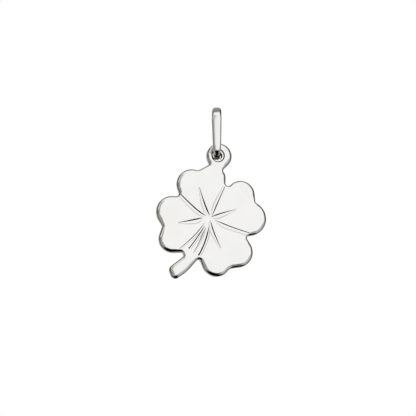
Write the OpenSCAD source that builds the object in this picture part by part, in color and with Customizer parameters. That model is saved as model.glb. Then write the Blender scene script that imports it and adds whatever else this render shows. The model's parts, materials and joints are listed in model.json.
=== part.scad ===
// Four-leaf clover pendant: a flat charm with a short stem, rounded rim and engraved veins,
// hanging by its round eyelet in an oval bail of thick wire.
// Millimetres. The plate stands in the XZ plane and its front faces -Y. Up is +Z.
// The origin is the top of the bail's inside, where a chain runs through it.

/* [Clover] */
// Width across the leaves
clover_w = 11.8; // [10:0.2:14]
// Thickness of the plate
plate_t = 1; // [0.8:0.05:1.1]
// Radius of the rounded rim, front and back
rim_r = 0.3; // [0.1:0.02:0.32]

/* [Eyelet] */
// Radius of the drilled hole
hole_r = 0.47; // [0.45:0.01:0.52]
// Width of the bevel at each mouth of the hole
hole_bevel = 0.24; // [0.2:0.01:0.26]

/* [Bail] */
// Thickness of the wire at the top
wire_top = 0.95; // [0.8:0.05:1]
// Thickness of the wire at the bottom, inside the hole
wire_low = 0.64; // [0.6:0.02:0.68]
// Radius of the two bends, to the middle of the wire
bend_r = 1.2; // [1.2:0.05:1.6]
// Height of the opening
bail_h = 3.9; // [3.4:0.05:4.5]
// Turn of the bail from square to the plate, in degrees
bail_turn = -11; // [-12:1:12]
// Play between the top of the hole and the wire, at the middle of the plate
hang_gap = 0.08; // [0.08:0.01:0.1]

/* [Veins] */
// Depth of the engraving for each millimetre of its width
vein_slope = 0.36; // [0.2:0.02:0.5]

/* [Hidden] */
$fn = 48;

// The outline, clockwise from the eyelet, as rounds joined by straight tangents.
// Each round is placed from the heart, where the veins meet.
// Columns: direction in degrees, reach, radius, side (1 bulges out, -1 is a notch)
DIRECTION = 0;
REACH = 1;
RADIUS = 2;
SIDE = 3;
EYELET = [80.4, 6.86, 1.33, 1];
ROUNDS = [
    EYELET,
    [71.7, 5.49, 0.17, -1], // right of the neck
    [79.2, 4.54, 0.97, 1], // top leaf, right lobe
    [61.5, 4.43, 0.31, -1], // between top and right leaf
    [37.9, 4.41, 1.49, 1], // right leaf, upper lobe
    [21.6, 5.63, 0.2, -1], // cleft of the right leaf
    [2.8, 4.4, 1.81, 1], // right leaf, lower lobe
    [336.5, 4.75, 0.24, -1], // between right and bottom leaf
    [312.7, 4.64, 1.6, 1], // bottom leaf, right lobe
    [294.8, 6.52, 0.8, -1], // cleft of the bottom leaf
    [280.3, 4.63, 1.52, 1], // bottom leaf, left lobe
    [256.9, 4.77, 0.28, -1], // between bottom leaf and stem
    [239.6, 7.04, 0.4, 1], // lower corner of the stem's end
    [234.8, 6.7, 0.4, 1], // upper corner of the stem's end
    [233.5, 5, 0.33, -1], // between stem and left leaf
    [210.4, 4.49, 1.44, 1], // left leaf, lower lobe
    [190.2, 5.45, 0.4, -1], // cleft of the left leaf
    [171.2, 3.96, 1.67, 1], // left leaf, upper lobe
    [143.2, 4.41, 0.37, -1], // between left and top leaf
    [116.5, 4.03, 1.61, 1], // top leaf, left lobe
    [102, 5.78, 0.51, -1], // cleft of the top leaf
    [91.1, 5.91, 0.18, -1], // left of the neck
];
// The table is drawn for a clover of this width
DRAWN_W = 11.8;
k = clover_w / DRAWN_W;

// Engraved lines. Columns: direction and reach of the inner end, of the outer end, and width
VEINS = [
    [146, 0.5, 144, 3.6, 0.34], // between left and top leaf
    [100, 0.5, 108, 3.3, 0.32], // top leaf, middle
    [64, 0.5, 65.5, 3.7, 0.4], // between top and right leaf
    [22, 0.4, 21, 3.1, 0.32], // right leaf, middle
    [342, 0.6, 342, 4.2, 0.34], // between right and bottom leaf
    [288, 0.4, 292, 3.3, 0.34], // bottom leaf, middle
    [186, 0.7, 190, 3.4, 0.34], // left leaf, middle
    [226, 0.8, 229, 4.3, 0.3], // stem, outer left line
    [239, 1.3, 237.5, 4, 0.26], // stem, inner left line
    [248, 1.3, 246.5, 4.1, 0.26], // stem, inner right line
    [262, 0.9, 255, 4.2, 0.32], // stem, outer right line
];

// The hole is off the eyelet's middle, to the left
hole_off = [-0.2, 0];
hole_z = hang_gap - bail_h - hole_r;
function polar(direction, reach) = reach * [cos(direction), sin(direction)];
// The heart's place, with the hole at (0, hole_z)
heart = [0, hole_z] - hole_off - k * polar(EYELET[DIRECTION], EYELET[REACH]);
rounds_n = len(ROUNDS);
// Steps of the rounded rim from the face to the wall, and the turn of each step along an arc
rim_steps = 3;
arc_step = 15;
// Depth of the band that carries the rounded rim
band = rim_r + 0.08;
// Smallest radius left where a round is drawn in
least_r = 0.02;

function middle(i) = heart + k * polar(ROUNDS[i][DIRECTION], ROUNDS[i][REACH]);
function side(i) = ROUNDS[i][SIDE];
// A round's radius drawn in by some amount: a lobe shrinks and a notch grows
function radius(i, inset) = max(least_r, k * ROUNDS[i][RADIUS] - side(i) * inset);
function next(i) = (i + 1) % rounds_n;
function previous(i) = (i + rounds_n - 1) % rounds_n;

// Bearing of the normal, out of the plate, of the straight from a round to the next one
function bearing(v) = atan2(v[1], v[0]);
function way(i) = middle(next(i)) - middle(i);
function lean(i) = (side(i) * radius(i, 0) - side(next(i)) * radius(next(i), 0)) / norm(way(i));
function normal(i) = bearing(way(i)) + acos(lean(i));

// A round's arc: where it starts, how far it turns clockwise, and its points.
// On a notch the normal points to the round's middle, so the arc turns the other way.
function turned(a) = (a % 360 + 360) % 360;
function arc_turn(i) = side(i) * turned(side(i) * (normal(previous(i)) - normal(i)));
function arc_n(i) = max(1, ceil(abs(arc_turn(i)) / arc_step));
function arc_bearing(i, j) = normal(previous(i)) - arc_turn(i) * j / arc_n(i);
function arc(i, inset) = [
    for (j = [0:arc_n(i)]) middle(i) + side(i) * polar(arc_bearing(i, j), radius(i, inset))
];
function outline(inset) = [for (i = [0:rounds_n - 1]) each arc(i, inset)];

// The plate's rim lying flat: outlines stacked round its section, from the inside of the band
// at the back, round the rim, to the inside of the band at the front
module rim() {
    flat = plate_t / 2 - rim_r;
    bends = [for (j = [0:rim_steps]) 90 * j / rim_steps];
    levels = [
        [-plate_t / 2, band],
        for (a = bends) [-flat - rim_r * cos(a), rim_r * (1 - sin(a))],
        for (a = bends) [flat + rim_r * sin(a), rim_r * (1 - cos(a))],
        [plate_t / 2, band],
    ];
    n = len(outline(0));
    m = len(levels);
    points = [for (l = levels) for (p = outline(l[1])) [p[0], p[1], l[0]]];
    faces = [
        for (l = [0:m - 1]) for (j = [0:n - 1])
            let (here = l * n, above = (l + 1) % m * n, j2 = (j + 1) % n)
            [here + j, here + j2, above + j2, above + j]
    ];
    polyhedron(points, faces);
}

// The flat inside of the plate, which ends within the rim's band
module core() {
    translate([0, 0, -plate_t / 2]) linear_extrude(height = plate_t)
        polygon(outline((rim_r + band) / 2));
}

// The hole through the eyelet, bevelled at both mouths
module hole() {
    over = 0.1;
    straight = plate_t / 2 - hole_bevel;
    rotate_extrude() polygon([
        [0, -plate_t / 2 - over],
        [hole_r + hole_bevel + over, -plate_t / 2 - over],
        [hole_r, -straight],
        [hole_r, straight],
        [hole_r + hole_bevel + over, plate_t / 2 + over],
        [0, plate_t / 2 + over],
    ]);
}

// One engraved line: a V cut, deepest at the inner end and running out at the outer end
module vein(row) {
    from = k * polar(row[0], row[1]);
    to = k * polar(row[2], row[3]);
    w = row[4];
    depth = vein_slope * w;
    run = norm(to - from);
    translate([heart[0] + from[0], heart[1] + from[1], plate_t / 2])
        rotate(bearing(to - from)) rotate([0, -atan(depth / run), 0]) rotate([90, 0, 90])
            linear_extrude(height = run) polygon([[-w, depth], [0, -depth], [w, depth]]);
}

module clover() {
    color("silver") rotate([90, 0, 0]) difference() {
        union() {
            rim();
            core();
        }
        translate([0, hole_z]) hole();
        for (row = VEINS) vein(row);
    }
}

// Half a turn of wire in the bail's plane, opening downwards
module bend(wire) {
    rotate([90, 0, 90]) rotate_extrude(angle = 180) translate([bend_r, 0]) circle(d = wire);
}

module bail() {
    top_z = wire_top / 2 - bend_r;
    low_z = bend_r - wire_low / 2 - bail_h;
    color("silver") rotate([0, 0, bail_turn]) {
        translate([0, 0, top_z]) bend(wire_top);
        translate([0, 0, low_z]) mirror([0, 0, 1]) bend(wire_low);
        for (s = [-1, 1]) translate([0, s * bend_r, low_z])
            cylinder(h = top_z - low_z, d1 = wire_low, d2 = wire_top);
    }
}

clover();
bail();
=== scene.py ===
"""Four-leaf clover pendant of polished silver: the clover, its bail, the studio and the camera.

The clover is modelled in millimetres and lying flat: x to the right, y up the plate and z out of
its front. It is then stood up and scaled to metres, where its front faces -Y. The bail is modelled
upright, in millimetres too.
"""

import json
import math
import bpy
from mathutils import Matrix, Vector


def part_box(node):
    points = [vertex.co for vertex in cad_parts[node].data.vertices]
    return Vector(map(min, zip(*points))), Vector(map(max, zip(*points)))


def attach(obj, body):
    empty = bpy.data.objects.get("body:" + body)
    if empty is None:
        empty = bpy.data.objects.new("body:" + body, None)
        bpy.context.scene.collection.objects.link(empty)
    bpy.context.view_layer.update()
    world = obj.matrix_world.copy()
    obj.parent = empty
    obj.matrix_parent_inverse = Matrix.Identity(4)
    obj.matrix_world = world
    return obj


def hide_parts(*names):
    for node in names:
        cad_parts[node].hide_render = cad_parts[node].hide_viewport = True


bl_info = {
    "name": "Clover Pendant",
    "version": (1, 0, 0),
    "blender": (4, 5, 0),
    "location": "View3D > Sidebar > Pendant",
    "description": "Builds a four-leaf clover pendant of polished silver with its bail and studio",
    "category": "Add Mesh",
}

from collections import namedtuple

import bmesh
import bpy
from bpy.props import FloatProperty, FloatVectorProperty, PointerProperty
from mathutils import Matrix, Vector

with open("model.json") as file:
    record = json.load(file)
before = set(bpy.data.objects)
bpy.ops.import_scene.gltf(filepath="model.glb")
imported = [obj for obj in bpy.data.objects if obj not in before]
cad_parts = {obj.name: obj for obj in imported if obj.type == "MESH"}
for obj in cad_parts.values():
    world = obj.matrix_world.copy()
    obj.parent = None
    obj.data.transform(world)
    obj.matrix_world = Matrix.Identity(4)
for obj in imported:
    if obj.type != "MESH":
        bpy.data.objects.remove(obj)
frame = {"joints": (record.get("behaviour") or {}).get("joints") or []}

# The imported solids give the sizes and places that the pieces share, in metres. The origin is the
# top of the bail's inside, so the bail's top is as high as its wire is thick there
CLOVER_LOW, CLOVER_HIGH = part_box("clover")
HINGE = Vector(frame["joints"][0]["pos_m"])
BAIL_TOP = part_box("bail")[1].z
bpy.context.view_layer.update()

MM = 0.001
STAND_UP = Matrix.Scale(MM, 4) @ Matrix.Rotation(math.radians(90), 4, "X")
WHITE = (1, 1, 1, 1)
# How near points are merged, in millimetres, and how near the plane that mirrors a form
MERGE = 0.0005
MIRROR_MERGE = 0.001

# The outline, clockwise from the eyelet, as rounds joined by straight tangents. Each round is
# placed from the heart, where the veins meet: direction in degrees, reach and radius in
# millimetres, and side, which is 1 for a round that bulges out and -1 for a notch
Round = namedtuple("Round", "direction reach radius side")
ROUNDS = (
    Round(80.4, 6.86, 1.33, 1),  # eyelet
    Round(71.7, 5.49, 0.17, -1),  # right of the neck
    Round(79.2, 4.54, 0.97, 1),  # top leaf, right lobe
    Round(61.5, 4.43, 0.31, -1),  # between top and right leaf
    Round(37.9, 4.41, 1.49, 1),  # right leaf, upper lobe
    Round(21.6, 5.63, 0.2, -1),  # cleft of the right leaf
    Round(2.8, 4.4, 1.81, 1),  # right leaf, lower lobe
    Round(336.5, 4.75, 0.24, -1),  # between right and bottom leaf
    Round(312.7, 4.64, 1.6, 1),  # bottom leaf, right lobe
    Round(294.8, 6.52, 0.8, -1),  # cleft of the bottom leaf
    Round(280.3, 4.63, 1.52, 1),  # bottom leaf, left lobe
    Round(256.9, 4.77, 0.28, -1),  # between bottom leaf and stem
    Round(203.4, 5.83, 4.5, 1),  # bend of the stem's lower side
    Round(239.3, 6.93, 0.48, 1),  # lower corner of the stem's end
    Round(236.6, 6.62, 0.55, 1),  # upper corner of the stem's end
    Round(233.3, 4.9, 0.27, -1),  # between stem and left leaf
    Round(210.4, 4.49, 1.44, 1),  # left leaf, lower lobe
    Round(190.2, 5.45, 0.4, -1),  # cleft of the left leaf
    Round(171.2, 3.96, 1.67, 1),  # left leaf, upper lobe
    Round(143.2, 4.41, 0.37, -1),  # between left and top leaf
    Round(116.5, 4.03, 1.61, 1),  # top leaf, left lobe
    Round(102.0, 5.78, 0.51, -1),  # cleft of the top leaf
    Round(91.1, 5.91, 0.18, -1),  # left of the neck
)
EYELET = ROUNDS[0]
# The hole is off the eyelet's middle, to the left
HOLE_SHIFT = Vector((-0.2, 0, 0))
# The least radius left where a round is drawn in, and the most that each step of an arc turns
LEAST_RADIUS = 0.02
ARC_STEP = math.radians(5)
# The stem's end has a wider rim: its two corners are also drawn in along the stem, in this
# direction and by this share of the inset
STEM_CORNERS = (13, 14)
STEM_WAY = 38.4
STEM_DRIFT = 1.1
# A notch has a narrower rim: its middle is drawn out by this share of the inset. The one between
# the stem and the left leaf has its own share, and the bottom leaf's cleft stays where it is
NOTCH_DRIFT = 0.45
STEM_NOTCH = 15
BOTTOM_CLEFT = 9
OWN_NOTCH_DRIFT = {STEM_NOTCH: 0.75, BOTTOM_CLEFT: 0}
# The eyelet's rim is narrower, and most of all on the left, where its middle is drawn out too
EYELET_RIM = 0.8
EYELET_DRIFT = -0.35

# Engraved lines as three points each, placed from the heart: direction in degrees and reach in
# millimetres at the inner end, the middle and the outer end. Then the width of the dark notch
# and of the shallow flank beside it, which is on the left seen from the heart, or on the right
# where its width is negative, and the share of its width that a line keeps at its outer end.
# A line with a pit ends in a round dot
Vein = namedtuple("Vein", "start middle end notch flank tail pit")
VEINS = (
    Vein((144, 0.45), (145.7, 1.83), (141.1, 4.05), 0.13, 0.38, 0.75, 0),  # left and top leaf
    Vein((76, 0.3), (107.7, 1.51), (108, 3.45), 0.14, 0.38, 0.25, 0),  # top leaf, middle
    Vein((41, 0.36), (62.1, 1.89), (64.1, 3.8), 0.11, 0.34, 0.5, 0),  # top and right leaf
    Vein((42, 0.2), (24.9, 1.39), (20.5, 3.1), 0.12, -0.44, 0.2, 0),  # right leaf, middle
    Vein((347, 0.6), (341.3, 2.38), (342.3, 4.5), 0.095, -0.4, 0.75, 0),  # right and bottom leaf
    Vein((298, 0.24), (289.2, 1.6), (291.8, 3.35), 0.115, -0.36, 0.25, 0),  # bottom leaf, middle
    Vein((176.5, 0.72), (187.1, 1.84), (189.8, 3.4), 0.14, 0.44, 0.25, 0),  # left leaf, middle
    Vein((222, 0.7), (229.2, 2.42), (226, 4.6), 0.09, 0.2, 0.5, 0),  # stem, outer left line
    Vein((240, 1.0), (237.6, 2.54), (236.2, 3.85), 0.11, 0.2, 0.9, 0.1),  # stem, inner left
    Vein((249, 1.0), (247, 2.63), (245.5, 4.1), 0.085, 0.14, 0.4, 0),  # stem, inner right line
    Vein((269, 0.75), (259.6, 2.46), (254, 4.05), 0.15, 0.2, 0.95, 0.1),  # stem, outer right
)
# The cut's depth where the flank meets the notch, and how much deeper the notch's bottom is for
# each millimetre of its width
FLANK_DEPTH = 0.04
NOTCH_SLOPE = 0.6
# The outer part of the flank is left satin: its share of the flank's width, and its depth at its
# inner edge as a share of the flank's depth
SATIN_SHARE = 0.36
SATIN_DEPTH = 0.55
# How far a cutter stands up from the face, and how far above it a flank's outer edge is
CUTTER_RISE = 0.06
EDGE_RISE = 0.001
# A vein is this much of its width at its inner tip, and widest at this share of its length
VEIN_TIP = 0.12
VEIN_WIDEST = 0.35
VEIN_STEPS = 24
PIT_SIDES = 16

# Which of its materials a face of the clover takes: first the hole's faces, then the veins'
# The bore and the hole's two dark slopes take materials of painted shade
POLISHED, BORE, SHADED_SLOPE = 0, 1, 2
SATIN, GROOVE = 1, 2
# What lies between two neighbouring points of a vein's section, where it isn't polished
VEIN_FINISH = {(1, 2): SATIN, (3, 4): GROOVE, (4, 5): GROOVE}


def polar(direction, reach):
    """A point in the plate's plane, from a direction in degrees and a reach."""
    angle = math.radians(direction)
    return Vector((reach * math.cos(angle), reach * math.sin(angle), 0))


def hole_middle():
    """The middle of the hole in the flat plate's plane, in millimetres."""
    return Vector((HINGE.x, HINGE.z, 0)) / MM


def heart():
    """Where the veins meet, in the flat plate's plane."""
    return hole_middle() - HOLE_SHIFT - polar(EYELET.direction, EYELET.reach)


def round_middle(r):
    """The middle of one of the outline's rounds."""
    return heart() + polar(r.direction, r.reach)


def drawn_in(r, inset):
    """A round's radius where the outline is drawn in: a lobe shrinks and a notch grows."""
    share = EYELET_RIM if r is EYELET else 1
    return max(LEAST_RADIUS, r.radius - r.side * share * inset)


def straight_normal(i):
    """Bearing of the normal, out of the plate, of the straight from one round to the next."""
    here, after = ROUNDS[i], ROUNDS[(i + 1) % len(ROUNDS)]
    way = round_middle(after) - round_middle(here)
    lean = (here.side * here.radius - after.side * after.radius) / way.length
    return math.atan2(way.y, way.x) + math.acos(lean)


def arc_turn(i):
    """How far a round's arc turns, clockwise on a lobe and the other way in a notch."""
    side = ROUNDS[i].side
    return side * ((side * (straight_normal(i - 1) - straight_normal(i))) % math.tau)


def drift(i):
    """How a round's middle moves for each millimetre that the outline is drawn in."""
    if i in STEM_CORNERS:
        return polar(STEM_WAY, STEM_DRIFT)
    if ROUNDS[i] is EYELET:
        return Vector((EYELET_DRIFT, 0, 0))
    if ROUNDS[i].side > 0:
        return Vector((0, 0, 0))
    outwards = straight_normal(i - 1) - arc_turn(i) / 2
    return polar(math.degrees(outwards), OWN_NOTCH_DRIFT.get(i, NOTCH_DRIFT))


def outline_edges(bm):
    """The edges of the plate's outline: an arc spun round each middle, and the straights."""
    tag = bm.verts.layers.int.new("round")
    arcs = []
    for i, r in enumerate(ROUNDS):
        turn = arc_turn(i)
        middle = round_middle(r)
        start = middle + r.side * r.radius * polar(math.degrees(straight_normal(i - 1)), 1)
        before = len(bm.verts)
        first = bm.verts.new(start)
        steps = max(1, math.ceil(abs(turn) / ARC_STEP))
        bmesh.ops.spin(bm, geom=[first], cent=middle, axis=(0, 0, 1), angle=-turn, steps=steps)
        bm.verts.ensure_lookup_table()
        arc = bm.verts[before:]
        for v in arc:
            v[tag] = i
        arcs.append((arc[0], arc[-1]))
    for (_, last), (first, _) in zip(arcs, arcs[1:] + arcs[:1]):
        bm.edges.new((last, first))
    return list(bm.edges)


def step_in(bm, edges, inset, to_inset, height):
    """Extrudes the outline's edges once, drawn in from one inset to another and raised a height."""
    tag = bm.verts.layers.int["round"]
    grown = bmesh.ops.extrude_edge_only(bm, edges=edges)["geom"]
    verts = [g for g in grown if isinstance(g, bmesh.types.BMVert)]
    bmesh.ops.translate(bm, vec=(0, 0, height), verts=verts)
    for i, r in enumerate(ROUNDS):
        share = drawn_in(r, to_inset) / drawn_in(r, inset)
        here = [v for v in verts if v[tag] == i]
        about = Matrix.Translation(-round_middle(r) - drift(i) * inset)
        bmesh.ops.scale(bm, vec=(share, share, 1), space=about, verts=here)
        bmesh.ops.translate(bm, vec=drift(i) * (to_inset - inset), verts=here)
    return [g for g in grown if isinstance(g, bmesh.types.BMEdge)]


def new_mesh(name, bm, materials=()):
    """A mesh with these materials, out of a bmesh, which is then freed."""
    mesh = bpy.data.meshes.new(name)
    bm.to_mesh(mesh)
    bm.free()
    for material in materials:
        mesh.materials.append(material)
    return mesh


def new_object(name, mesh):
    """An object with this mesh, linked to the scene."""
    piece = bpy.data.objects.new(name, mesh)
    bpy.context.scene.collection.objects.link(piece)
    return piece


def mirror_to_back(bm):
    """Mirrors the front half of a form to its back, which closes it."""
    geometry = bm.verts[:] + bm.edges[:] + bm.faces[:]
    bmesh.ops.mirror(bm, geom=geometry, axis="Z", merge_dist=MIRROR_MERGE)
    bmesh.ops.remove_doubles(bm, verts=bm.verts, dist=MERGE)
    bmesh.ops.recalc_face_normals(bm, faces=bm.faces)


# Steps of the rim's rounding
RIM_STEPS = 12


def plate_mesh(sizes):
    """The plate with its rounded rim, solid, with no hole and no veins yet."""
    half = sizes.thickness / MM / 2
    rim_width, rim_drop = sizes.rim_width / MM, sizes.rim_drop / MM
    bm = bmesh.new()
    edges = outline_edges(bm)
    inset, height = 0, 0
    levels = [(0, half - rim_drop)]
    for j in range(1, RIM_STEPS + 1):
        angle = math.pi / 2 * j / RIM_STEPS
        to_inset = rim_width * (1 - math.cos(angle))
        levels.append((to_inset, half - rim_drop * (1 - math.sin(angle))))
    for to_inset, to_height in levels:
        edges = step_in(bm, edges, inset, to_inset, to_height - height)
        inset, height = to_inset, to_height
    bmesh.ops.triangle_fill(bm, use_beauty=True, edges=edges)
    mirror_to_back(bm)
    return new_mesh("plate", bm)


# The mouth of the hole from the bore out: how far each ring lies beyond the bore, as a share of
# the countersink's width, and how deep under the face, in millimetres
MOUTH = ((0, 0.24), (0.1, 0.15), (0.56, 0.13), (1, 0))
# How far the cutter's last slope goes on above the face, for its length below
MOUTH_RISE = 3
HOLE_STEPS = 72


def hole_cutter(sizes, materials):
    """The hole's form: a bore of painted shade whose mouth opens to a bright ledge between two
    slopes of painted shade.
    """
    half = sizes.thickness / MM / 2
    bore, sink = sizes.hole_radius / MM, sizes.hole_bevel / MM
    bm = bmesh.new()
    points = [(bore, 0)] + [(bore + sink * out, half - depth) for out, depth in MOUTH]
    edge = Vector(points[-1]) + MOUTH_RISE * (Vector(points[-1]) - Vector(points[-2]))
    verts = [bm.verts.new((x, 0, z)) for x, z in points[:-1] + [edge]]
    edges = [bm.edges.new(pair) for pair in zip(verts, verts[1:])]
    bmesh.ops.spin(
        bm, geom=verts + edges, cent=(0, 0, 0), axis=(0, 0, 1),
        angle=math.tau, steps=HOLE_STEPS, use_merge=True,
    )
    top = [e for e in bm.edges if e.is_boundary and e.verts[0].co.z > half]
    bmesh.ops.contextual_create(bm, geom=top)
    mirror_to_back(bm)
    # The bore and the dark slopes are painted shade; the ledge between them stays polished
    for face in bm.faces:
        depth = half - abs(face.calc_center_median().z)
        face.material_index = SHADED_SLOPE
        if depth > MOUTH[0][1]:
            face.material_index = BORE
        elif MOUTH[2][1] < depth < MOUTH[1][1]:
            face.material_index = POLISHED
    bmesh.ops.translate(bm, vec=hole_middle(), verts=bm.verts)
    return new_mesh("hole", bm, materials)


def sweep(bm, verts, edges, frames):
    """Extrudes a section from frame to frame: each is a matrix that places and scales it.

    Gives the points at each frame, and the edges at the last one.
    """
    rings = [verts]
    for here, after in zip(frames, frames[1:]):
        grown = bmesh.ops.extrude_edge_only(bm, edges=edges)["geom"]
        verts = [g for g in grown if isinstance(g, bmesh.types.BMVert)]
        bmesh.ops.transform(bm, matrix=after @ here.inverted(), verts=verts)
        edges = [g for g in grown if isinstance(g, bmesh.types.BMEdge)]
        rings.append(verts)
    return rings, edges


def curve_point(points, t):
    """A point on the parabola through three points, at 0 to 1 along it, and its direction there."""
    a, b, c = points
    control = 2 * b - (a + c) / 2
    place = (1 - t) ** 2 * a + 2 * t * (1 - t) * control + t ** 2 * c
    along = 2 * (1 - t) * (control - a) + 2 * t * (c - control)
    return place, along.normalized()


def vein_swell(t, tail):
    """A vein's width along it, as a share of the widest."""
    tip, run = VEIN_TIP, t / VEIN_WIDEST
    if run > 1:
        tip, run = tail, (1 - t) / (1 - VEIN_WIDEST)
    return tip + (1 - tip) * math.sin(run * math.pi / 2)


def vein_section(vein):
    """A vein's section where it is widest, seen from the heart, from the flank to the notch."""
    side = math.copysign(1, vein.flank)
    half = vein.notch / 2
    outer = half + abs(vein.flank)
    bottom = FLANK_DEPTH + NOTCH_SLOPE * vein.notch
    satin = outer - SATIN_SHARE * abs(vein.flank)
    past = half * CUTTER_RISE / bottom
    points = (
        (outer + CUTTER_RISE, CUTTER_RISE), (outer, EDGE_RISE),
        (satin, -FLANK_DEPTH * SATIN_DEPTH), (half, -FLANK_DEPTH),
        (0, -bottom), (-half - past, CUTTER_RISE),
    )
    return [(0, side * across, height) for across, height in points]


def vein_cutter(vein, sizes, materials):
    """One engraved line's form: a shallow flank and a notch swept along its curve."""
    points = [heart() + polar(*p) for p in (vein.start, vein.middle, vein.end)]
    top = sizes.thickness / MM / 2
    frames = []
    for j in range(VEIN_STEPS + 1):
        t = j / VEIN_STEPS
        place, along = curve_point(points, t)
        turn = math.atan2(along.y, along.x)
        swell = vein_swell(t, vein.tail)
        frames.append(
            Matrix.Translation((place.x, place.y, top)) @ Matrix.Rotation(turn, 4, "Z")
            @ Matrix.Scale(swell, 4)
        )
    bm = bmesh.new()
    tag = bm.verts.layers.int.new("across")
    verts = [bm.verts.new(p) for p in vein_section(vein)]
    for number, vert in enumerate(verts):
        vert[tag] = number
    edges = [bm.edges.new(pair) for pair in zip(verts, verts[1:] + verts[:1])]
    bmesh.ops.transform(bm, matrix=frames[0], verts=verts)
    _, last_edges = sweep(bm, verts, edges, frames)
    for end in (edges, last_edges):
        bmesh.ops.contextual_create(bm, geom=end)
    for face in bm.faces:
        numbers = tuple(sorted({v[tag] for v in face.verts}))
        face.material_index = VEIN_FINISH.get(numbers, POLISHED)
    bmesh.ops.recalc_face_normals(bm, faces=bm.faces)
    return new_mesh("vein", bm, materials)


def pit_cutter(vein, sizes, materials):
    """The round dot at a line's outer end, as a cone with its point down.

    Its upper half stands up from the face, where the dot has the pit's radius.
    """
    size = 2 * vein.pit
    bm = bmesh.new()
    bmesh.ops.create_cone(
        bm, cap_ends=True, segments=PIT_SIDES, radius1=0, radius2=size, depth=size,
    )
    bmesh.ops.remove_doubles(bm, verts=bm.verts, dist=MERGE)
    end = heart() + polar(*vein.end)
    bmesh.ops.translate(bm, vec=(end.x, end.y, sizes.thickness / MM / 2), verts=bm.verts)
    bmesh.ops.recalc_face_normals(bm, faces=bm.faces)
    return new_mesh("pit", bm, materials)


def cut(piece, mesh):
    """Cuts a closed mesh out of a piece; the cut faces take the mesh's materials."""
    cutter = new_object("cutter", mesh)
    modifier = piece.modifiers.new("cut", "BOOLEAN")
    modifier.operation = "DIFFERENCE"
    modifier.solver = "EXACT"
    modifier.material_mode = "TRANSFER"
    modifier.object = cutter
    evaluated = piece.evaluated_get(bpy.context.evaluated_depsgraph_get())
    result = bpy.data.meshes.new_from_object(evaluated)
    piece.modifiers.clear()
    piece.data = result
    bpy.data.objects.remove(cutter)


# How nearly a face lies in the plate's plane where it is flat, and where it joins a flat one
FLAT = 0.99999
NEARLY_FLAT = 0.94


def shade(piece, crease):
    """Smooth shading, creased at sharp edges and between materials, with flat faces kept flat."""
    mesh = piece.data
    mesh.shade_smooth()
    mesh.set_sharp_from_angle(angle=crease)
    bm = bmesh.new()
    bm.from_mesh(mesh)
    for edge in bm.edges:
        if len({face.material_index for face in edge.link_faces}) > 1:
            edge.smooth = False
    bm.to_mesh(mesh)
    bm.free()
    flat = {v for face in mesh.polygons if abs(face.normal.y) > FLAT for v in face.vertices}
    normals = [corner.vector.copy() for corner in mesh.corner_normals]
    for face in mesh.polygons:
        if face.material_index != POLISHED or abs(face.normal.y) < NEARLY_FLAT:
            continue
        for corner, vert in zip(face.loop_indices, face.vertices):
            if vert in flat:
                normals[corner] = Vector((0, math.copysign(1, face.normal.y), 0))
    mesh.normals_split_custom_set(normals)


class NodeTree:
    """Short hands to add nodes to a tree and link them."""

    def __init__(self, tree):
        self.tree = tree

    def add(self, kind, settings=None, **inputs):
        """A new node with these settings and inputs, whose names have _ for each space."""
        node = self.tree.nodes.new(kind)
        for name, value in (settings or {}).items():
            setattr(node, name, value)
        for name, value in inputs.items():
            self.feed(node.inputs[name.replace("_", " ")], value)
        return node

    def feed(self, socket, value):
        """Gives an input a value, or a link where the value is another node's output."""
        if isinstance(value, bpy.types.NodeSocket):
            self.tree.links.new(value, socket)
        else:
            socket.default_value = value

    def math(self, operation, *values):
        """What a sum gives, out of inputs that are numbers or other nodes' outputs."""
        node = self.tree.nodes.new("ShaderNodeMath")
        node.operation = operation
        for socket, value in zip(node.inputs, values):
            self.feed(socket, value)
        return node.outputs[0]

    def mix(self, share, one, other):
        """A colour between two others: one at share 0 and the other at share 1."""
        node = self.tree.nodes.new("ShaderNodeMix")
        node.data_type = "RGBA"
        self.feed(node.inputs["Factor"], share)
        self.feed(node.inputs[6], one)
        self.feed(node.inputs[7], other)
        return node.outputs[2]


def node_group(name, inputs, outputs):
    """A new shader node group with its sockets, and its input and output nodes."""
    tree = bpy.data.node_groups.new(name, "ShaderNodeTree")
    for in_out, sockets in (("INPUT", inputs), ("OUTPUT", outputs)):
        for socket, kind in sockets:
            tree.interface.new_socket(socket, in_out=in_out, socket_type=kind)
    nodes = NodeTree(tree)
    return nodes, nodes.add("NodeGroupInput").outputs, nodes.add("NodeGroupOutput").inputs


def millimetres(nodes, turn=0, stretch=(1, 1, 1)):
    """Object coordinates in millimetres, turned about the plate's normal and stretched."""
    place = nodes.add("ShaderNodeTexCoord").outputs["Object"]
    turned = nodes.add(
        "ShaderNodeMapping", Vector=place, Rotation=(0, math.radians(turn), 0),
    ).outputs[0]
    scale = [side / MM for side in stretch]
    return nodes.add("ShaderNodeMapping", Vector=turned, Scale=scale).outputs[0]


def rise(nodes, value, low, high):
    """A mask that rises from 0 to 1 while a value rises from low to high."""
    return nodes.add(
        "ShaderNodeMapRange", {"interpolation_type": "SMOOTHSTEP"},
        Value=value, From_Min=low, From_Max=high,
    ).outputs[0]


def fall(nodes, value, low, high):
    """A mask that falls from 1 to 0 while a value rises from low to high."""
    return nodes.math("SUBTRACT", 1.0, rise(nodes, value, low, high))


def noise(nodes, place, scale, detail, roughness=0.5):
    """Smooth noise from 0 to 1."""
    return nodes.add(
        "ShaderNodeTexNoise", Vector=place, Scale=scale, Detail=detail, Roughness=roughness,
    ).outputs["Fac"]


# Hairlines, in three sets: which way they run on the plate and how short they are. Then how thin
# they are, between which values of their noise they show, how rough and how deep they are
HAIRLINES = ((28, 0.45), (-52, 0.6), (75, 0.8))
HAIRLINE_THINNESS = 26
HAIRLINE_BAND = (0.64, 0.72)
HAIRLINE_ROUGHNESS = 0.08
HAIRLINE_DEPTH = 2.5e-7
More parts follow.
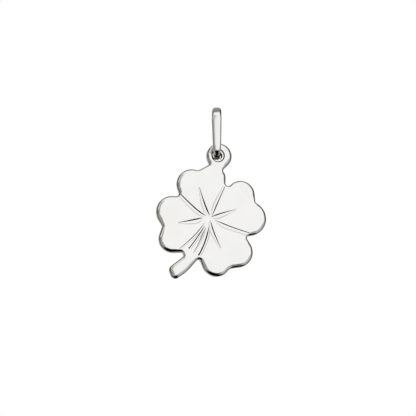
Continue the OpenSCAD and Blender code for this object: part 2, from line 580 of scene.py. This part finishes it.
# Clouds in the polish: how small they are, how broken up, between which values of their noise
# they show, and how rough they are
CLOUD_SCALE = 0.32
CLOUD_BREAKUP = 0.6
CLOUD_BAND = (0.38, 0.66)
CLOUD_ROUGHNESS = 0.03


def hand_polish():
    """Hairlines and faint clouds left by hand polishing, shared by every silver."""
    nodes, given, out = node_group(
        "hand polish",
        (("Colour", "NodeSocketColor"), ("Clouded Colour", "NodeSocketColor"),
         ("Roughness", "NodeSocketFloat"), ("Hairlines", "NodeSocketFloat")),
        (("Colour", "NodeSocketColor"), ("Roughness", "NodeSocketFloat"),
         ("Height", "NodeSocketFloat")),
    )
    lines = 0.0
    for turn, along in HAIRLINES:
        place = millimetres(nodes, turn, (along, along, HAIRLINE_THINNESS))
        streaks = noise(nodes, place, scale=1.0, detail=1.0)
        lines = nodes.math("MAXIMUM", lines, rise(nodes, streaks, *HAIRLINE_BAND))
    lines = nodes.math("MULTIPLY", lines, given["Hairlines"])
    clouds = noise(nodes, millimetres(nodes), CLOUD_SCALE, detail=3.0, roughness=CLOUD_BREAKUP)
    clouds = rise(nodes, clouds, *CLOUD_BAND)
    nodes.feed(out["Colour"], nodes.mix(clouds, given["Colour"], given["Clouded Colour"]))
    rougher = nodes.math("MULTIPLY_ADD", clouds, CLOUD_ROUGHNESS, given["Roughness"])
    rougher = nodes.math("MULTIPLY_ADD", lines, HAIRLINE_ROUGHNESS, rougher)
    nodes.feed(out["Roughness"], rougher)
    nodes.feed(out["Height"], nodes.math("MULTIPLY", lines, -1.0))
    return nodes.tree


# Patches of patina in the lines and of painted shade in the hole: how small they are, between which
# values of their noise and amount together they show, and how much rougher they are
TARNISH_SCALE = 1.1
TARNISH_BAND = (0.8, 1.05)
TARNISH_ROUGHNESS = 0.12


def tarnish():
    """Patches of patina in the lines and of painted shade in the hole, as a mask that is 1 where
    they show.
    """
    nodes, given, out = node_group(
        "tarnish",
        (("Scale", "NodeSocketFloat"), ("Amount", "NodeSocketFloat")),
        (("Mask", "NodeSocketFloat"),),
    )
    patches = noise(nodes, millimetres(nodes), given["Scale"], detail=4.0)
    raised = nodes.math("ADD", patches, given["Amount"])
    nodes.feed(out["Mask"], rise(nodes, raised, *TARNISH_BAND))
    return nodes.tree


def shared_group(name, build):
    """A node group that is built once and then placed in each material."""
    return bpy.data.node_groups.get(name) or build()


# Two masks, a painted dark reflection on the rim's side and painted shade under the bail: how far
# their edges waver, in millimetres, and how much rougher the silver is there
WAVER = 0.08
MASK_ROUGHNESS = 0.08
# The side's painted dark reflection: its waves' size, and how far from the plate's middle it starts
# and ends
SIDE_WAVES = 1.4
SIDE_START = (0.19, 0.24)
SIDE_END = (0.3, 0.38)
# The painted shade under the bail: how small its waves are, how far it reaches to the front and
# back, up to which height, and its colour at a grazing angle, where it brightens less than clean
# silver
BAIL_SHADE_WAVES = 1.8
BAIL_SHADE_REACH = (0.9, 1.15)
BAIL_SHADE_HEIGHT = (-4.38, -4.22)
BAIL_SHADE_EDGE = (0.56, 0.54, 0.44, 1)


def waver(nodes, value, waves):
    """A value in millimetres with noise on it, for a mask with an uneven edge."""
    worn = noise(nodes, millimetres(nodes), waves, detail=2.0)
    return nodes.math("MULTIPLY_ADD", worn, WAVER, value)


def painted_side_reflection_mask(nodes):
    """Where the painted dark reflection lies, on the outer half of the plate's rim beside its side
    wall, from 0 to 1.
    """
    place = nodes.add("ShaderNodeSeparateXYZ", Vector=millimetres(nodes)).outputs
    depth = waver(nodes, nodes.math("ABSOLUTE", place["Y"]), SIDE_WAVES)
    start, end = rise(nodes, depth, *SIDE_START), fall(nodes, depth, *SIDE_END)
    return nodes.math("MULTIPLY", end, start)


def bail_painted_shade_mask(nodes):
    """Where painted shade darkens the bail's underside inside the eyelet, from 0 to 1."""
    place = nodes.add("ShaderNodeSeparateXYZ", Vector=millimetres(nodes)).outputs
    low = fall(nodes, waver(nodes, place["Z"], BAIL_SHADE_WAVES), *BAIL_SHADE_HEIGHT)
    inside = fall(nodes, nodes.math("ABSOLUTE", place["Y"]), *BAIL_SHADE_REACH)
    return nodes.math("MULTIPLY", inside, low)


# A silver: its colours where it is clear and clouded, its roughness, how strong its hairlines
# are and how much of it is patched, with patina in the lines and painted shade in the hole
Finish = namedtuple(
    "Finish", "name colour clouded roughness hairlines tarnish", defaults=(1.0, 0.0),
)
# The satin flank's roughness is its real finish; its darker colour is painted shade on the shallow
# flank beside each line
SATIN_SHADED_SILVER = Finish("satin silver with painted shade", (0.74, 0.735, 0.72), (0.68, 0.67, 0.65), 0.3, 0.4)
ENGRAVED_SILVER = Finish(
    "engraved silver", (0.36, 0.335, 0.26), (0.24, 0.225, 0.17), 0.25, 0.0, 0.5,
)
# The hole's bore and the dark ring of its mouth's slopes are painted shade: silver darker than
# polished, with darker patches
SHADED_HOLE_SILVER = Finish("hole silver with painted shade", (0.62, 0.59, 0.52), (0.5, 0.46, 0.38), 0.25, 0.3, 0.3)
SHADED_RING_SILVER = Finish(
    "ring silver with painted shade", (0.2, 0.185, 0.135), (0.13, 0.115, 0.075), 0.3, 0.3, 0.4,
)


def silver(finish, patina_and_shade=None, side=None, bail_shade=None):
    """Hand-polished silver, with patches of patina and painted shade, and a painted dark reflection
    on its side or painted shade under the bail.
    """
    material = bpy.data.materials.new(finish.name)
    material.use_nodes = True
    nodes = NodeTree(material.node_tree)
    shader = material.node_tree.nodes["Principled BSDF"]
    shader.inputs["Metallic"].default_value = 1
    polish = nodes.add("ShaderNodeGroup", {"node_tree": shared_group("hand polish", hand_polish)})
    nodes.feed(polish.inputs["Colour"], (*finish.colour, 1))
    nodes.feed(polish.inputs["Clouded Colour"], (*finish.clouded, 1))
    nodes.feed(polish.inputs["Roughness"], finish.roughness)
    nodes.feed(polish.inputs["Hairlines"], finish.hairlines)
    shown, rough = polish.outputs["Colour"], polish.outputs["Roughness"]
    if patina_and_shade:
        patches = nodes.add("ShaderNodeGroup", {"node_tree": shared_group("tarnish", tarnish)})
        nodes.feed(patches.inputs["Scale"], TARNISH_SCALE)
        nodes.feed(patches.inputs["Amount"], finish.tarnish)
        mask = patches.outputs["Mask"]
        shown = nodes.mix(mask, shown, (*patina_and_shade, 1))
        rough = nodes.math("MULTIPLY_ADD", mask, TARNISH_ROUGHNESS, rough)
    if side or bail_shade:
        mask = painted_side_reflection_mask(nodes) if side else bail_painted_shade_mask(nodes)
        shown = nodes.mix(mask, shown, (*(side or bail_shade), 1))
        rough = nodes.math("MULTIPLY_ADD", mask, MASK_ROUGHNESS, rough)
    # The painted shade under the bail also dims how the silver brightens at a grazing angle
    if bail_shade:
        nodes.feed(shader.inputs["Specular Tint"], nodes.mix(mask, WHITE, BAIL_SHADE_EDGE))
    bump = nodes.add(
        "ShaderNodeBump", Height=polish.outputs["Height"], Strength=1.0, Distance=HAIRLINE_DEPTH,
    )
    nodes.feed(shader.inputs["Base Color"], shown)
    nodes.feed(shader.inputs["Roughness"], rough)
    nodes.feed(shader.inputs["Normal"], bump.outputs[0])
    return material


# Steps of each quarter bend and of each leg of the bail, and sides of its wire
BEND_STEPS = 18
LEG_STEPS = 10
WIRE_SIDES = 48
# How much thinner the wire is at the foot of its legs, in millimetres, and the share of the lower
# bend where it stays at its thinnest
LEG_TAPER = 0.12
THIN_SHARE = 0.75
# How much squarer than round the wire is where it was pressed flattest. Then how flat it is at
# the top and at the foot of its legs, for 1 at its flattest, and how far up the legs it gets
# there, in millimetres
FLATTER = 2.6
TOP_FLAT = 0.2
FOOT_FLAT = 0.3
FLAT_RUN = 0.5
# How much wider than high it is, in the hole and at the top, and how far the top leans to the
# left, in millimetres
LOW_WIDER = 0.06
TOP_WIDER = 0.07
TOP_LEAN = 0.035


def bail_path(bend, low_bend, top_z, low_z):
    """Places on the bail's middle line: the turn round the bail, then y and z in millimetres."""
    foot = bend - low_bend
    places = []
    for j in range(2 * BEND_STEPS + 1):
        angle = math.pi / 2 * j / BEND_STEPS
        places.append((angle, bend * math.cos(angle), top_z + bend * math.sin(angle)))
    for j in range(1, LEG_STEPS):
        places.append((math.pi, -bend, top_z + (low_z - top_z) * j / LEG_STEPS))
    for j in range(2 * BEND_STEPS + 1):
        angle = math.pi + math.pi / 2 * j / BEND_STEPS
        if j == BEND_STEPS:
            places.append((angle, -foot, low_z - low_bend))
        corner = -foot if j < BEND_STEPS else foot
        y = corner + low_bend * math.cos(angle)
        places.append((angle, y, low_z + low_bend * math.sin(angle)))
    for j in range(1, LEG_STEPS):
        places.append((math.tau, bend, low_z + (top_z - low_z) * j / LEG_STEPS))
    places.append((math.tau, bend, top_z))
    return places


def bail_frames(sizes):
    """Frames round the bail's middle line, which place a unit circle and scale it to the wire.

    Each comes with how flat the wire is there, from 0 where it is round to 1.
    """
    bend, low_bend = sizes.bend_radius / MM, sizes.low_bend / MM
    top_r, low_r = sizes.wire_top / MM / 2, sizes.wire_low / MM / 2
    leg_r = top_r - LEG_TAPER / 2
    top_z = top_r - bend
    low_z = low_bend - low_r - sizes.opening / MM
    frames = []
    for angle, y, z in bail_path(bend, low_bend, top_z, low_z):
        if z >= low_z:
            share = min(1, (z - low_z) / (top_z - low_z))
            radius = leg_r + (top_r - leg_r) * share
            flat = min(1, FOOT_FLAT + (z - low_z) / FLAT_RUN)
            if z > top_z:
                flat = 1 - (1 - TOP_FLAT) * (z - top_z) / bend
            wide = 1 + TOP_WIDER * share
            lean = TOP_LEAN * share
        else:
            share = max(0, (abs(math.cos(angle)) - THIN_SHARE) / (1 - THIN_SHARE))
            share = share * share * (3 - 2 * share)
            radius = low_r + (leg_r - low_r) * share
            flat = FOOT_FLAT * share
            wide = 1 + LOW_WIDER * (1 - share)
            lean = 0
        place = Matrix.Translation((-lean, y, z)) @ Matrix.Rotation(angle, 4, "X")
        frames.append((place @ Matrix.Diagonal((radius * wide, radius, radius, 1)), flat))
    return frames


def flatten(verts, matrix, flat):
    """Squares a ring of the wire's surface a little, as where a round wire was pressed flatter."""
    power = 2 + FLATTER * flat
    back = matrix.inverted()
    for vert in verts:
        across, out, _ = back @ vert.co
        reach = (abs(across) ** power + abs(out) ** power) ** (1 / power)
        vert.co = matrix @ Vector((across / reach, out / reach, 0))


def bail_mesh(sizes):
    """The bail: wire swept round its oval, thinner and rounder where it runs through the hole."""
    frames = bail_frames(sizes)
    bm = bmesh.new()
    bmesh.ops.create_circle(bm, segments=WIRE_SIDES, radius=1)
    bmesh.ops.transform(bm, matrix=frames[0][0], verts=bm.verts)
    rings, _ = sweep(bm, bm.verts[:], bm.edges[:], [matrix for matrix, _ in frames])
    for ring, (matrix, flat) in zip(rings, frames):
        flatten(ring, matrix, flat)
    bmesh.ops.remove_doubles(bm, verts=bm.verts, dist=MERGE)
    bmesh.ops.recalc_face_normals(bm, faces=bm.faces)
    turn = Matrix.Rotation(sizes.turn, 3, "Z")
    bmesh.ops.rotate(bm, cent=(0, 0, 0), matrix=turn, verts=bm.verts)
    bmesh.ops.scale(bm, vec=(MM, MM, MM), verts=bm.verts)
    return new_mesh("bail_wire", bm)


class CloverSizes(bpy.types.PropertyGroup):
    """The clover's sizes"""

    thickness: FloatProperty(
        name="Thickness", description="Thickness of the plate", unit="LENGTH", precision=5,
        default=CLOVER_HIGH.y - CLOVER_LOW.y,
    )
    rim_width: FloatProperty(
        name="Rim width", description="How far in the rim's rounding reaches", unit="LENGTH",
        precision=5, default=0.0005,
    )
    rim_drop: FloatProperty(
        name="Rim drop", description="How far the rim's rounding drops from the face",
        unit="LENGTH", precision=5, default=0.00035,
    )
    hole_radius: FloatProperty(
        name="Hole radius", description="Radius of the hole in the eyelet", unit="LENGTH",
        precision=5, default=0.00047,
    )
    hole_bevel: FloatProperty(
        name="Countersink", description="Width of the countersink at each mouth of the hole",
        unit="LENGTH", precision=5, default=0.00026,
    )
    crease: FloatProperty(
        name="Crease", description="Edges sharper than this are shaded as creases",
        subtype="ANGLE", default=math.radians(20),
    )


class BailSizes(bpy.types.PropertyGroup):
    """The bail's sizes and its turn"""

    wire_top: FloatProperty(
        name="Wire at the top", description="Thickness of the wire at the top", unit="LENGTH",
        precision=5, default=BAIL_TOP,
    )
    wire_low: FloatProperty(
        name="Wire in the hole", description="Thickness of the wire inside the eyelet's hole",
        unit="LENGTH", precision=5, default=0.00064,
    )
    bend_radius: FloatProperty(
        name="Bend radius", description="Radius of the upper bend, to the middle of the wire",
        unit="LENGTH", precision=5, default=0.001157,
    )
    low_bend: FloatProperty(
        name="Lower bend radius", description="Radius of the bail's lower corners, to the middle",
        unit="LENGTH", precision=5, default=0.0005,
    )
    opening: FloatProperty(
        name="Opening", description="Height of the bail's opening", unit="LENGTH", precision=5,
        default=0.0039,
    )
    turn: FloatProperty(
        name="Turn", description="Turn of the bail from square to the plate", subtype="ANGLE",
        default=math.radians(-13.5),
    )


class SilverFinish(bpy.types.PropertyGroup):
    """The colours and polish of the silver"""

    clover_colour: FloatVectorProperty(
        name="Clover", description="Colour of the clover's silver", subtype="COLOR",
        default=(0.945, 0.94, 0.93),
    )
    bail_colour: FloatVectorProperty(
        name="Bail", description="Colour of the bail's silver", subtype="COLOR",
        default=(0.93, 0.93, 0.93),
    )
    clouded_colour: FloatVectorProperty(
        name="Clouded", description="Colour of the silver where the polish is clouded",
        subtype="COLOR", default=(0.925, 0.92, 0.9),
    )
    groove_tarnish: FloatVectorProperty(
        name="Line tarnish", description="Colour of the tarnish in the engraved lines",
        subtype="COLOR", default=(0.06, 0.053, 0.035),
    )
    # The hole's colour is painted shade in the bore, on the mouth's slopes and on the bail's
    # underside
    hole_painted_shade: FloatVectorProperty(
        name="Hole shade", description="Colour of the painted shade in the hole and under the bail",
        subtype="COLOR", default=(0.07, 0.06, 0.04),
    )
    # The side's colour is a painted dark reflection, darkening the outer half of the rim beside the
    # side wall
    side_painted_reflection: FloatVectorProperty(
        name="Side", description="Colour of the painted dark reflection on the side of the plate",
        subtype="COLOR", default=(0.2, 0.195, 0.17),
    )
    roughness: FloatProperty(
        name="Roughness", description="Roughness of the clover's polish", subtype="FACTOR",
        default=0.08,
    )
    bail_roughness: FloatProperty(
        name="Bail roughness", description="Roughness of the bail's polish", subtype="FACTOR",
        default=0.14,
    )


class PENDANT_OT_clover(bpy.types.Operator):
    """Build the clover: plate, rounded rim, hole and engraved veins"""

    bl_idname = "pendant.clover"
    bl_label = "Clover"

    def execute(self, context):
        sizes, given = context.scene.clover_sizes, context.scene.silver_finish
        clear = Finish("clover silver", given.clover_colour, given.clouded_colour, given.roughness)
        # The clover's silver takes a painted dark reflection on the outer half of its rim
        polish = silver(clear, side=given.side_painted_reflection)
        # The satin flank takes a darker colour as painted shade
        satin = silver(SATIN_SHADED_SILVER)
        groove = silver(ENGRAVED_SILVER, given.groove_tarnish)
        # The bore and the mouth's dark slopes take painted shade
        inside = silver(SHADED_HOLE_SILVER, given.hole_painted_shade)
        ring = silver(SHADED_RING_SILVER, given.hole_painted_shade)
        piece = new_object("clover_charm", plate_mesh(sizes))
        piece.data.materials.append(polish)
        cut(piece, hole_cutter(sizes, (polish, inside, ring)))
        for vein in VEINS:
            cut(piece, vein_cutter(vein, sizes, (polish, satin, groove)))
            if vein.pit:
                cut(piece, pit_cutter(vein, sizes, (groove,)))
        piece.data.transform(STAND_UP)
        shade(piece, sizes.crease)
        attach(piece, "clover")
        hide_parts("clover")
        return {"FINISHED"}


class PENDANT_OT_bail(bpy.types.Operator):
    """Build the bail: an oval of tapered wire through the eyelet"""

    bl_idname = "pendant.bail"
    bl_label = "Bail"

    def execute(self, context):
        sizes, given = context.scene.bail_sizes, context.scene.silver_finish
        clear = Finish(
            "bail silver", given.bail_colour, given.clouded_colour, given.bail_roughness,
        )
        # The wire takes painted shade on its underside inside the eyelet
        wire = silver(clear, bail_shade=given.hole_painted_shade)
        piece = new_object("bail_ring", bail_mesh(sizes))
        piece.data.materials.append(wire)
        piece.data.shade_smooth()
        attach(piece, "bail")
        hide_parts("bail")
        return {"FINISHED"}


# The camera: where it stands round the pendant in degrees, how far away, the nearest and the
# farthest that it sees, in metres, and its sensor's width in millimetres
CAMERA_AZIMUTH = -13
CAMERA_ELEVATION = -10
CAMERA_DISTANCE = 0.3
CAMERA_CLIP = (0.01, 10)
SENSOR = 36
# The square picture's width, its scale at the hole's front mouth, and the mouth's place in it
PICTURE_PIXELS = 416
PIXELS_PER_METRE = 9500
HOLE_PIXEL = (218.1, 155.4)


def place_camera():
    """The camera, aimed so that the hole's front mouth shows at its place in the picture."""
    azimuth, elevation = math.radians(CAMERA_AZIMUTH), math.radians(CAMERA_ELEVATION)
    back = Vector((
        math.sin(azimuth) * math.cos(elevation),
        -math.cos(azimuth) * math.cos(elevation),
        math.sin(elevation),
    ))
    turn = (-back).to_track_quat("-Z", "Y")
    right, up = turn @ Vector((1, 0, 0)), turn @ Vector((0, 1, 0))
    mouth = Vector((HINGE.x, CLOVER_LOW.y, HINGE.z))
    across = (HOLE_PIXEL[0] - PICTURE_PIXELS / 2) / PIXELS_PER_METRE
    down = (HOLE_PIXEL[1] - PICTURE_PIXELS / 2) / PIXELS_PER_METRE
    aim = mouth - right * across + up * down
    camera = bpy.data.objects.new("camera", bpy.data.cameras.new("camera"))
    bpy.context.scene.collection.objects.link(camera)
    camera.location = aim + back * CAMERA_DISTANCE
    camera.rotation_mode = "QUATERNION"
    camera.rotation_quaternion = turn
    camera.data.sensor_width = SENSOR
    camera.data.lens = SENSOR * CAMERA_DISTANCE / (PICTURE_PIXELS / PIXELS_PER_METRE)
    camera.data.clip_start, camera.data.clip_end = CAMERA_CLIP
    bpy.context.scene.camera = camera


# What the silver mirrors, as soft-edged cards round the pendant: the azimuth and elevation of
# each card's middle, its half width and half height, and the softness of its edges, in degrees.
# Azimuth 0 is in front and 90 on the right. Each card covers the ones before it, and the room
# shows between them
Card = namedtuple("Card", "name azimuth elevation half_width half_height softness colour")
ROOM = (0.19, 0.19, 0.175)
CARDS = (
    Card("ceiling", 5, 88, 59, 60, 10, (0.28, 0.28, 0.27)),
    Card("right dark", 118, 24, 32, 26, 6, (0.03, 0.03, 0.028)),
    Card("left dark", -112, 44, 28, 14, 6, (0.06, 0.06, 0.055)),
    Card("right frame", 90, 40, 5, 80, 5, (0.11, 0.11, 0.11)),
    Card("left wall", -64, 42, 12, 27, 3.4, (0.76, 0.75, 0.71)),
    Card("behind", 180, 20, 30, 22, 5, (0.5, 0.5, 0.49)),
    Card("back floor", 180, -28, 60, 19, 6, (0.6, 0.6, 0.59)),
    Card("front", 9.5, 4, 47, 71, 4, (0.95, 0.95, 0.945)),
    Card("left gap", -36, 26, 16.5, 22, 3, (0.45, 0.44, 0.41)),
    Card("table", 1, -62, 41, 38, 8, (0.0, 0.0, 0.0)),
    Card("right of the table", 80, -68, 38, 15, 5, (0.0, 0.0, 0.0)),
    Card("lower left", -51, -20, 33, 16, 5, (0.34, 0.34, 0.32)),
    Card("lower right", 49, -22, 18, 24, 5, (0.5, 0.5, 0.49)),
)


def card_mask(nodes, direction, card):
    """How much of a card is seen in a direction, from 0 to 1."""
    turned = nodes.add(
        "ShaderNodeVectorRotate", {"rotation_type": "Z_AXIS"},
        Vector=direction, Angle=-math.radians(card.azimuth),
    )
    tipped = nodes.add(
        "ShaderNodeVectorRotate", {"rotation_type": "X_AXIS"},
        Vector=turned.outputs[0], Angle=math.radians(card.elevation),
    )
    xyz = nodes.add("ShaderNodeSeparateXYZ", Vector=tipped.outputs[0]).outputs
    sideways = nodes.math("ARCTAN2", xyz["X"], nodes.math("MULTIPLY", xyz["Y"], -1))
    upwards = nodes.math("ARCSINE", xyz["Z"])
    masks = []
    for angle, half in ((sideways, card.half_width), (upwards, card.half_height)):
        edge = nodes.add(
            "ShaderNodeMapRange", {"interpolation_type": "SMOOTHSTEP"},
            Value=nodes.math("ABSOLUTE", angle),
            From_Min=math.radians(half - card.softness),
            From_Max=math.radians(half + card.softness),
            To_Min=1.0, To_Max=0.0,
        )
        masks.append(edge.outputs[0])
    return nodes.math("MULTIPLY", *masks)


def make_world():
    """The studio's light: the cards as the silver mirrors them, and white for the camera."""
    world = bpy.data.worlds.new("studio")
    world.use_nodes = True
    world.node_tree.nodes.clear()
    nodes = NodeTree(world.node_tree)
    direction = nodes.add("ShaderNodeTexCoord").outputs["Generated"]
    colour = (*ROOM, 1)
    for card in CARDS:
        colour = nodes.mix(card_mask(nodes, direction, card), colour, (*card.colour, 1))
    seen = nodes.add("ShaderNodeLightPath").outputs["Is Camera Ray"]
    colour = nodes.mix(seen, colour, WHITE)
    light = nodes.add("ShaderNodeBackground", Color=colour)
    out = nodes.add("ShaderNodeOutputWorld")
    nodes.tree.links.new(light.outputs[0], out.inputs["Surface"])
    bpy.context.scene.world = world


class StageSettings(bpy.types.PropertyGroup):
    """The floor's place, size and colour"""

    floor_drop: FloatProperty(
        name="Floor drop", description="How far below the bail's seat the floor lies",
        unit="LENGTH", default=0.1,
    )
    floor_radius: FloatProperty(
        name="Floor radius", description="Radius of the round floor", unit="LENGTH", default=2,
    )
    floor_colour: FloatVectorProperty(
        name="Floor colour", description="Colour of the pale floor", subtype="COLOR",
        default=(0.9, 0.9, 0.9),
    )


FLOOR_SIDES = 96


class PENDANT_OT_stage(bpy.types.Operator):
    """Build the pale floor, the studio light and the camera"""

    bl_idname = "pendant.stage"
    bl_label = "Stage"

    def execute(self, context):
        settings = context.scene.stage_settings
        bm = bmesh.new()
        bmesh.ops.create_circle(
            bm, cap_ends=True, segments=FLOOR_SIDES, radius=settings.floor_radius,
        )
        bmesh.ops.translate(bm, vec=(0, 0, -settings.floor_drop), verts=bm.verts)
        floor = new_object("floor", new_mesh("floor", bm))
        paint = bpy.data.materials.new("pale floor")
        paint.use_nodes = True
        shader = paint.node_tree.nodes["Principled BSDF"]
        shader.inputs["Base Color"].default_value = (*settings.floor_colour, 1)
        floor.data.materials.append(paint)
        floor.visible_glossy = False
        make_world()
        place_camera()
        context.scene.view_settings.view_transform = "Standard"
        return {"FINISHED"}


class PENDANT_PT_panel(bpy.types.Panel):
    """The pendant's sizes, finish and build steps"""

    bl_idname = "PENDANT_PT_panel"
    bl_label = "Clover Pendant"
    bl_space_type = "VIEW_3D"
    bl_region_type = "UI"
    bl_category = "Pendant"

    def draw(self, context):
        layout = self.layout
        for step, groups in STEPS:
            layout.operator(step.bl_idname)
            for group in groups:
                settings = getattr(context.scene, group)
                for name in type(settings).__annotations__:
                    layout.prop(settings, name)


# Each operator with its groups of settings, as the panel lists them. The bail shares the clover's
# finish
STEPS = (
    (PENDANT_OT_clover, ("clover_sizes", "silver_finish")),
    (PENDANT_OT_bail, ("bail_sizes",)),
    (PENDANT_OT_stage, ("stage_settings",)),
)
GROUPS = {
    "clover_sizes": CloverSizes,
    "bail_sizes": BailSizes,
    "silver_finish": SilverFinish,
    "stage_settings": StageSettings,
}
CLASSES = (*GROUPS.values(), *(step for step, _ in STEPS), PENDANT_PT_panel)


def register():
    """Registers the classes and gives each scene its settings."""
    for cls in CLASSES:
        bpy.utils.register_class(cls)
    for name, group in GROUPS.items():
        setattr(bpy.types.Scene, name, PointerProperty(type=group))


def unregister():
    """Takes the settings and the classes away again."""
    for name in GROUPS:
        delattr(bpy.types.Scene, name)
    for cls in reversed(CLASSES):
        bpy.utils.unregister_class(cls)


def main():
    """Builds the pieces and the stage."""
    register()
    bpy.ops.pendant.clover()
    bpy.ops.pendant.bail()
    bpy.ops.pendant.stage()


if __name__ == "__main__":
    main()
